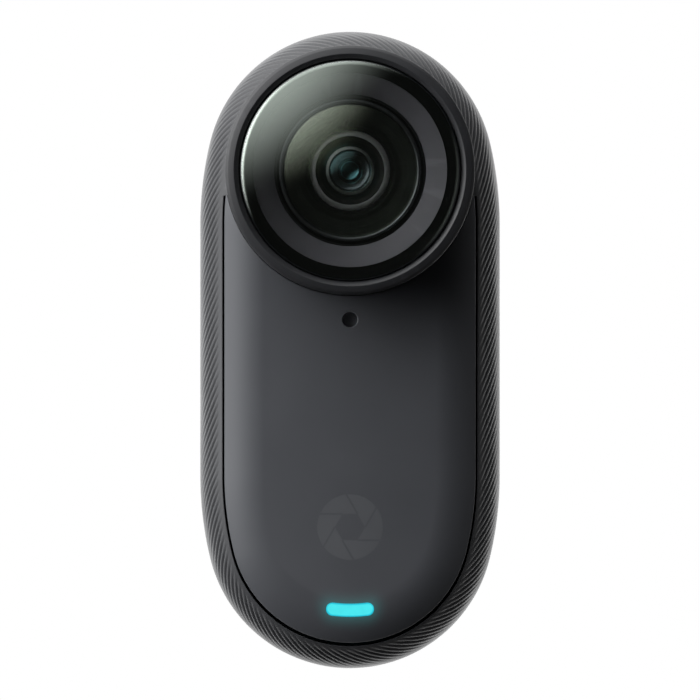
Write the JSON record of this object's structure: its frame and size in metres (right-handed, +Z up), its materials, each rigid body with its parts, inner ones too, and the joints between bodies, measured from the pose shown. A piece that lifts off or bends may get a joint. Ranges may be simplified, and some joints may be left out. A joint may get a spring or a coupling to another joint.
{
  "type": "action camera",
  "caption": "Thumb-sized action camera: pill-shaped body, press-in front panel, domed wide lens under a twist-off round guard, status light, magnetic back with charging contacts.",
  "frame": {"origin": "centre of the flat magnetic back face, half way up the body", "axes": "+Z up along the long axis, +Y out of the back, so the lens faces -Y, +X to the right seen from the front"},
  "size_m": [0.0256, 0.0248, 0.0544],
  "materials": {
    "shell_plastic": "satin dark grey with a fine knurl round the rim",
    "panel_plastic": "soft-touch satin dark grey",
    "back_plastic": "fine matte dark grey",
    "emblem_print": "slightly lighter satin grey",
    "ring_plastic": "satin dark grey, turned edge",
    "baffle_plastic": "matte warm grey",
    "black_plastic": "matte black",
    "mask_print": "gloss black print",
    "bezel_metal": "dark anodised, polished lip",
    "guard_glass": "coated clear glass, green-grey reflections",
    "lens_glass": "coated optical glass",
    "filter_glass": "blue-green filter glass",
    "light_cyan": "glowing cyan light pipe",
    "window_clear": "smoked clear window",
    "rubber_black": "moulded black rubber",
    "mesh_steel": "woven acoustic mesh, dark",
    "contact_gold": "gold-plated",
    "magnet_nickel": "nickel plated",
    "steel": "bright steel",
    "chassis_alloy": "cast alloy, matte",
    "board_green": "solder-masked circuit board",
    "chip_black": "moulded chip package",
    "flex_amber": "polyimide film",
    "cell_wrap": "foil pouch",
    "sensor_face": "sensor cover glass",
    "switch_body": "moulded switch body",
    "button_plastic": "satin dark grey"
  },
  "bodies": {
    "housing": {"aperture_stop": "black_plastic", "back_magnets": "magnet_nickel", "barrel_seal": "rubber_black", "battery_cell": "cell_wrap", "battery_lead": "flex_amber", "board_chips": "chip_black", "board_screws": "steel", "chassis": "chassis_alloy", "contact_board": "board_green", "contact_pads": "contact_gold", "fourth_element": "lens_glass", "front_led": "switch_body", "front_microphone": "steel", "haptic_motor": "steel", "heat_spreader": "chassis_alloy", "image_sensor": "sensor_face", "inner_retaining_ring": "bezel_metal", "ir_filter": "filter_glass", "lens_baffle": "baffle_plastic", "lens_barrel": "black_plastic", "lens_bezel": "bezel_metal", "lens_collar": "ring_plastic", "lens_front_element": "lens_glass", "lens_spacer": "black_plastic", "main_board": "board_green", "panel_gasket": "rubber_black", "panel_hinge_pins": "steel", "power_button_seal": "rubber_black", "power_switch": "switch_body", "processor_shield": "steel", "rear_element": "lens_glass", "rear_led": "switch_body", "rear_light_window": "window_clear", "rear_mic_mesh": "mesh_steel", "rear_microphone": "steel", "rear_plate": "back_plastic", "rear_plate_gasket": "rubber_black", "rear_shell": "shell_plastic", "second_element": "lens_glass", "sensor_board": "board_green", "sensor_flex": "flex_amber", "shutter_switch": "switch_body", "third_element": "lens_glass", "wifi_antenna": "flex_amber"},
    "bayonet": {"bayonet_ring": "black_plastic"},
    "lens_guard": {"guard_ring": "ring_plastic", "guard_glass": "guard_glass", "guard_mask": "mask_print", "guard_seal": "rubber_black"},
    "shutter_panel": {"front_panel": "panel_plastic", "emblem_inlay": "emblem_print", "front_light_pipe": "light_cyan", "front_mic_mesh": "mesh_steel"},
    "shutter_plunger": {"shutter_plunger": "black_plastic"},
    "power_button": {"power_button": "button_plastic"},
    "power_plunger": {"power_plunger": "black_plastic"}
  },
  "joints": [
    {"name": "guard_twist", "type": "hinge", "parent": "housing", "child": "bayonet", "pos_m": [0, -0.018, 0.0153], "axis": [0, -1, 0], "range_deg": [0, 40]},
    {"name": "guard_lift", "type": "slide", "parent": "bayonet", "child": "lens_guard", "axis": [0, -1, 0], "range_m": [0, 0.012]},
    {"name": "shutter_press", "type": "hinge", "parent": "housing", "child": "shutter_panel", "pos_m": [0, -0.0133, 0.008], "axis": [1, 0, 0], "range_deg": [0, 0.8], "stiffness_Nm_per_rad": 3, "springref_deg": -0.17},
    {"name": "shutter_plunger_slide", "type": "slide", "parent": "housing", "child": "shutter_plunger", "axis": [0, 1, 0], "range_m": [0, 0.0004]},
    {"name": "power_press", "type": "slide", "parent": "housing", "child": "power_button", "axis": [0, 0, -1], "range_m": [0, 0.0003], "stiffness_N_per_m": 2500, "springref_m": -0.0001},
    {"name": "power_plunger_slide", "type": "slide", "parent": "housing", "child": "power_plunger", "axis": [0, 0, -1], "range_m": [0, 0.00035]}
  ],
  "couplings": [
    {"joint": "shutter_plunger_slide", "follows": "shutter_press", "m_per_rad": 0.0231},
    {"joint": "power_plunger_slide", "follows": "power_press", "ratio": 1}
  ]
}
